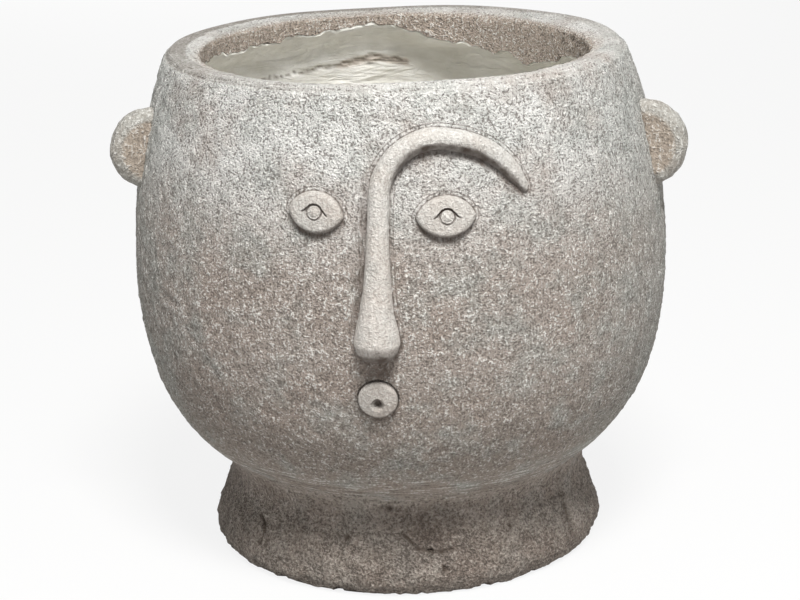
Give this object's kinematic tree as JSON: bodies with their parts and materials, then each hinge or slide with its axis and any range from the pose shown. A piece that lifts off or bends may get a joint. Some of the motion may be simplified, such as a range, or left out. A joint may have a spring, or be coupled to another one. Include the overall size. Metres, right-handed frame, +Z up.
{
  "type": "head planter",
  "caption": "Round cement planter on a flared foot, with a modelled face: ears, eyes, hooked nose and brow, and a small round mouth.",
  "frame": {"origin": "centre of the foot's base, on the surface that the planter stands on", "axes": "+Z up along the pot's axis; the face looks along -Y; the head's own left ear is at +X"},
  "size_m": [0.2946, 0.2918, 0.2674],
  "materials": {
    "bowl_cement": "matte",
    "lining_coat": "matte",
    "foot_cement": "matte",
    "neck_mortar": "matte",
    "ear_cement": "matte",
    "relief_cement": "matte",
    "stopper_rubber": "matte"
  },
  "bodies": {
    "planter": {"bowl": "bowl_cement", "inner_lining": "lining_coat", "foot_ring": "foot_cement", "neck_mortar": "neck_mortar", "ear_left": "ear_cement", "ear_right": "ear_cement", "eye_left": "relief_cement", "eye_right": "relief_cement", "pupil_left": "relief_cement", "pupil_right": "relief_cement", "nose_and_brow": "relief_cement", "mouth": "relief_cement"},
    "drain_plug": {"drain_plug": "stopper_rubber"}
  },
  "joints": [
    {"name": "drain_plug_lift", "type": "slide", "parent": "planter", "child": "drain_plug", "axis": [0, 0, 1], "range_m": [0, 0.25]}
  ]
}
